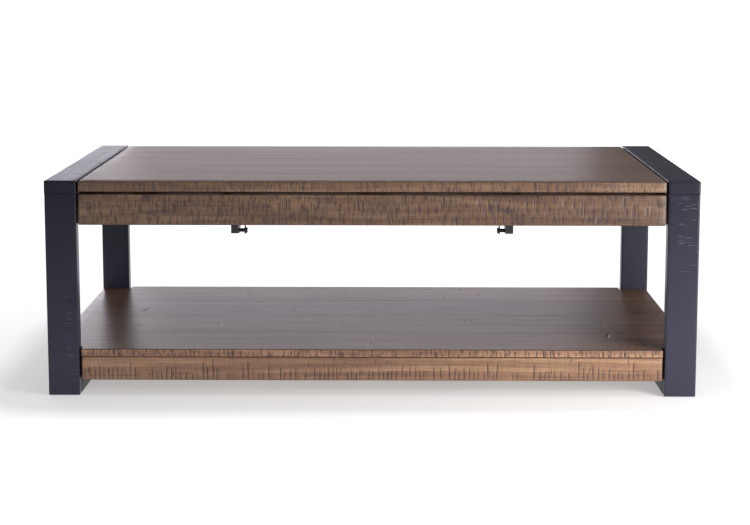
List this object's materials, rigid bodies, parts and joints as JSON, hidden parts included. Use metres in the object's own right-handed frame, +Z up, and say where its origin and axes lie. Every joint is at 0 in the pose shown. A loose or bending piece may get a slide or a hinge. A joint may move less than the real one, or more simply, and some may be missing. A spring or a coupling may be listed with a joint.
{
  "type": "lift top coffee table",
  "caption": "Rectangular coffee table with dark ring-shaped end frames, a low open shelf, and a top that lifts up and forward on sprung steel arms.",
  "frame": {"origin": "on the floor, under the middle of the table's outline", "axes": "+X along the table to the right seen from the front, -Y towards the front, +Z up"},
  "size_m": [1.372, 0.711, 0.46],
  "materials": {
    "walnut": "saw-marked, warm brown stain, satin lacquer",
    "inner_wood": "planed, lightly oiled",
    "dark_paint": "saw-marked wood in a blue-black paint, satin",
    "black_steel": "black powder coat, satin",
    "bright_steel": "zinc-plated",
    "spring_steel": "oil-blackened",
    "bumper_rubber": "matt",
    "nylon": "moulded, matt"
  },
  "bodies": {
    "frame": {"angle_brackets": "black_steel", "apron_ledgers": "inner_wood", "bumpers": "bumper_rubber", "corner_blocks": "inner_wood", "end_boards": "walnut", "floor_glides": "nylon", "frame_dowels": "inner_wood", "frame_screws": "bright_steel", "front_apron": "walnut", "left_base_bracket": "black_steel", "left_base_pins": "black_steel", "left_end_runner": "dark_paint", "left_end_top_plank": "dark_paint", "left_front_post": "dark_paint", "left_mechanism_rail": "inner_wood", "left_rear_post": "dark_paint", "left_shelf_side_rail": "walnut", "left_side_apron": "walnut", "rear_apron": "walnut", "right_base_bracket": "black_steel", "right_base_pins": "black_steel", "right_end_runner": "dark_paint", "right_end_top_plank": "dark_paint", "right_front_post": "dark_paint", "right_mechanism_rail": "inner_wood", "right_rear_post": "dark_paint", "right_shelf_side_rail": "walnut", "right_side_apron": "walnut", "shelf_cleats": "inner_wood", "shelf_front_rail": "walnut", "shelf_plank_1": "walnut", "shelf_plank_2": "walnut", "shelf_plank_3": "walnut", "shelf_plank_4": "walnut", "shelf_rear_rail": "walnut", "spring_anchors": "black_steel"},
    "lift_top": {"left_top_bracket": "black_steel", "left_top_pins": "black_steel", "right_top_bracket": "black_steel", "right_top_pins": "black_steel", "top_battens": "inner_wood", "top_plank_1_left": "walnut", "top_plank_1_right": "walnut", "top_plank_2": "walnut", "top_plank_3": "walnut", "top_plank_4": "walnut", "top_plank_5": "walnut", "top_screws": "bright_steel"},
    "left_rear_arm": {"left_rear_arm": "black_steel", "left_rear_arm_bushes": "nylon", "left_spring_stud": "black_steel"},
    "left_front_arm": {"left_front_arm": "black_steel", "left_front_arm_bushes": "nylon"},
    "left_spring": {"left_spring": "spring_steel"},
    "right_rear_arm": {"right_rear_arm": "black_steel", "right_rear_arm_bushes": "nylon", "right_spring_stud": "black_steel"},
    "right_front_arm": {"right_front_arm": "black_steel", "right_front_arm_bushes": "nylon"},
    "right_spring": {"right_spring": "spring_steel"}
  },
  "joints": [
    {"name": "lift", "type": "hinge", "parent": "frame", "child": "left_rear_arm", "pos_m": [-0.293, -0.211, 0.372], "axis": [1, 0, 0], "range_deg": [0, 118]},
    {"name": "top_level", "type": "hinge", "parent": "left_rear_arm", "child": "lift_top", "pos_m": [-0.293, 0.04837, 0.39014], "axis": [1, 0, 0], "range_deg": [-118.01, 0.01]},
    {"name": "left_front_arm_turn", "type": "hinge", "parent": "frame", "child": "left_front_arm", "pos_m": [-0.293, -0.26538, 0.39736], "axis": [1, 0, 0], "range_deg": [-0.01, 118.01]},
    {"name": "right_rear_arm_turn", "type": "hinge", "parent": "frame", "child": "right_rear_arm", "pos_m": [0.293, -0.211, 0.372], "axis": [1, 0, 0], "range_deg": [-0.01, 118.01]},
    {"name": "right_front_arm_turn", "type": "hinge", "parent": "frame", "child": "right_front_arm", "pos_m": [0.293, -0.26538, 0.39736], "axis": [1, 0, 0], "range_deg": [-0.01, 118.01]},
    {"name": "left_spring_turn", "type": "hinge", "parent": "frame", "child": "left_spring", "pos_m": [-0.273, -0.262, 0.342], "axis": [1, 0, 0], "range_deg": [-0.01, 80.24], "deforming": ["left_spring"]},
    {"name": "right_spring_turn", "type": "hinge", "parent": "frame", "child": "right_spring", "pos_m": [0.273, -0.262, 0.342], "axis": [1, 0, 0], "range_deg": [-0.01, 80.24], "deforming": ["right_spring"]}
  ],
  "couplings": [
    {"joint": "top_level", "follows": "lift", "ratio": -1},
    {"joint": "left_front_arm_turn", "follows": "lift", "ratio": 1},
    {"joint": "right_rear_arm_turn", "follows": "lift", "ratio": 1},
    {"joint": "right_front_arm_turn", "follows": "lift", "ratio": 1},
    {"joint": "left_spring_turn", "follows": "lift", "ratio": 0.67961},
    {"joint": "right_spring_turn", "follows": "lift", "ratio": 0.67961}
  ]
}
